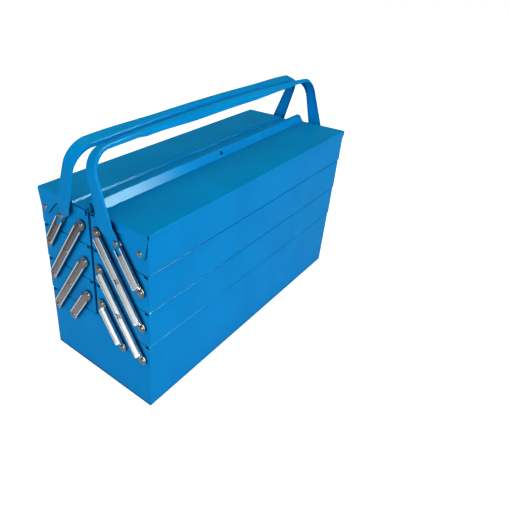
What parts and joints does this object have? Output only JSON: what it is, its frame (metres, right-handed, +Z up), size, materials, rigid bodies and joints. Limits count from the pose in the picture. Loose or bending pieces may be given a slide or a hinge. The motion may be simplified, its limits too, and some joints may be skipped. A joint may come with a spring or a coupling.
{
  "type": "cantilever tool box",
  "caption": "Sheet-steel tool box whose stacked trays swing out sideways on riveted links; two lids open with the two arched handles.",
  "frame": {"origin": "on the ground under the middle of the closed box", "axes": "X along the box with the handles' legs at its two ends, -Y to the front half whose lid has the ridge, Z up"},
  "size_m": [0.5206, 0.1984, 0.3549],
  "materials": {
    "paint": "glossy azure blue enamel",
    "links": "bright zinc plate",
    "rivets": "bright zinc plate, domed"
  },
  "bodies": {
    "base": {"base_pan": "paint", "base_end_plates": "paint", "base_rivets": "rivets"},
    "front_base_long_links": {"front_base_long_link_left": "links", "front_base_long_link_right": "links"},
    "front_base_short_links": {"front_base_short_link_left": "links", "front_base_short_link_right": "links"},
    "front_lower_tray": {"front_lower_pan": "paint", "front_lower_end_plates": "paint", "front_lower_rivets": "rivets"},
    "front_top_long_links": {"front_top_long_link_left": "links", "front_top_long_link_right": "links"},
    "front_middle_tray": {"front_middle_pan": "paint", "front_middle_end_plates": "paint", "front_middle_rivets": "rivets"},
    "front_handle": {"front_handle": "paint", "front_handle_link_left": "links", "front_handle_link_right": "links"},
    "front_upper_tray": {"front_upper_pan": "paint", "front_upper_end_plates": "paint", "front_upper_rivets": "rivets", "front_lid_pins": "rivets"},
    "front_lid": {"front_lid": "paint"},
    "rear_base_long_links": {"rear_base_long_link_left": "links", "rear_base_long_link_right": "links"},
    "rear_base_short_links": {"rear_base_short_link_left": "links", "rear_base_short_link_right": "links"},
    "rear_lower_tray": {"rear_lower_pan": "paint", "rear_lower_end_plates": "paint", "rear_lower_rivets": "rivets"},
    "rear_top_long_links": {"rear_top_long_link_left": "links", "rear_top_long_link_right": "links"},
    "rear_middle_tray": {"rear_middle_pan": "paint", "rear_middle_end_plates": "paint", "rear_middle_rivets": "rivets"},
    "rear_handle": {"rear_handle": "paint", "rear_handle_link_left": "links", "rear_handle_link_right": "links"},
    "rear_upper_tray": {"rear_upper_pan": "paint", "rear_upper_end_plates": "paint", "rear_upper_rivets": "rivets", "rear_lid_pins": "rivets"},
    "rear_lid": {"rear_lid": "paint"}
  },
  "joints": [
    {"name": "front_open", "type": "hinge", "parent": "base", "child": "front_base_long_links", "pos_m": [0, -0.087, 0.079], "axis": [1, 0, 0], "range_deg": [0, 68]},
    {"name": "front_base_short_links_turn", "type": "hinge", "parent": "base", "child": "front_base_short_links", "pos_m": [0, -0.0505, 0.079], "axis": [1, 0, 0], "range_deg": [0, 68]},
    {"name": "front_lower_tray_level", "type": "hinge", "parent": "front_base_long_links", "child": "front_lower_tray", "pos_m": [0, -0.0505, 0.133], "axis": [1, 0, 0], "range_deg": [-68, 0]},
    {"name": "front_top_long_links_turn", "type": "hinge", "parent": "front_lower_tray", "child": "front_top_long_links", "pos_m": [0, -0.087, 0.133], "axis": [1, 0, 0], "range_deg": [0, 68]},
    {"name": "front_middle_tray_level", "type": "hinge", "parent": "front_base_long_links", "child": "front_middle_tray", "pos_m": [0, -0.014, 0.187], "axis": [1, 0, 0], "range_deg": [-68, 0]},
    {"name": "front_handle_turn", "type": "hinge", "parent": "front_middle_tray", "child": "front_handle", "pos_m": [0, -0.087, 0.187], "axis": [1, 0, 0], "range_deg": [0, 68]},
    {"name": "front_upper_tray_level", "type": "hinge", "parent": "front_top_long_links", "child": "front_upper_tray", "pos_m": [0, -0.014, 0.241], "axis": [1, 0, 0], "range_deg": [-68, 0]},
    {"name": "front_lid_turn", "type": "hinge", "parent": "front_upper_tray", "child": "front_lid", "pos_m": [0, -0.087, 0.241], "axis": [1, 0, 0], "range_deg": [0, 84.32]},
    {"name": "rear_open", "type": "hinge", "parent": "base", "child": "rear_base_long_links", "pos_m": [0, 0.087, 0.079], "axis": [-1, 0, 0], "range_deg": [0, 68]},
    {"name": "rear_base_short_links_turn", "type": "hinge", "parent": "base", "child": "rear_base_short_links", "pos_m": [0, 0.0505, 0.079], "axis": [-1, 0, 0], "range_deg": [0, 68]},
    {"name": "rear_lower_tray_level", "type": "hinge", "parent": "rear_base_long_links", "child": "rear_lower_tray", "pos_m": [0, 0.0505, 0.133], "axis": [-1, 0, 0], "range_deg": [-68, 0]},
    {"name": "rear_top_long_links_turn", "type": "hinge", "parent": "rear_lower_tray", "child": "rear_top_long_links", "pos_m": [0, 0.087, 0.133], "axis": [-1, 0, 0], "range_deg": [0, 68]},
    {"name": "rear_middle_tray_level", "type": "hinge", "parent": "rear_base_long_links", "child": "rear_middle_tray", "pos_m": [0, 0.014, 0.187], "axis": [-1, 0, 0], "range_deg": [-68, 0]},
    {"name": "rear_handle_turn", "type": "hinge", "parent": "rear_middle_tray", "child": "rear_handle", "pos_m": [0, 0.087, 0.187], "axis": [-1, 0, 0], "range_deg": [0, 68]},
    {"name": "rear_upper_tray_level", "type": "hinge", "parent": "rear_top_long_links", "child": "rear_upper_tray", "pos_m": [0, 0.014, 0.241], "axis": [-1, 0, 0], "range_deg": [-68, 0]},
    {"name": "rear_lid_turn", "type": "hinge", "parent": "rear_upper_tray", "child": "rear_lid", "pos_m": [0, 0.087, 0.241], "axis": [-1, 0, 0], "range_deg": [0, 87.04]}
  ],
  "couplings": [
    {"joint": "front_base_short_links_turn", "follows": "front_open", "ratio": 1},
    {"joint": "front_lower_tray_level", "follows": "front_open", "ratio": -1},
    {"joint": "front_top_long_links_turn", "follows": "front_open", "ratio": 1},
    {"joint": "front_middle_tray_level", "follows": "front_open", "ratio": -1},
    {"joint": "front_handle_turn", "follows": "front_open", "ratio": 1},
    {"joint": "front_upper_tray_level", "follows": "front_open", "ratio": -1},
    {"joint": "front_lid_turn", "follows": "front_open", "ratio": 1.24},
    {"joint": "rear_base_short_links_turn", "follows": "rear_open", "ratio": 1},
    {"joint": "rear_lower_tray_level", "follows": "rear_open", "ratio": -1},
    {"joint": "rear_top_long_links_turn", "follows": "rear_open", "ratio": 1},
    {"joint": "rear_middle_tray_level", "follows": "rear_open", "ratio": -1},
    {"joint": "rear_handle_turn", "follows": "rear_open", "ratio": 1},
    {"joint": "rear_upper_tray_level", "follows": "rear_open", "ratio": -1},
    {"joint": "rear_lid_turn", "follows": "rear_open", "ratio": 1.28}
  ]
}
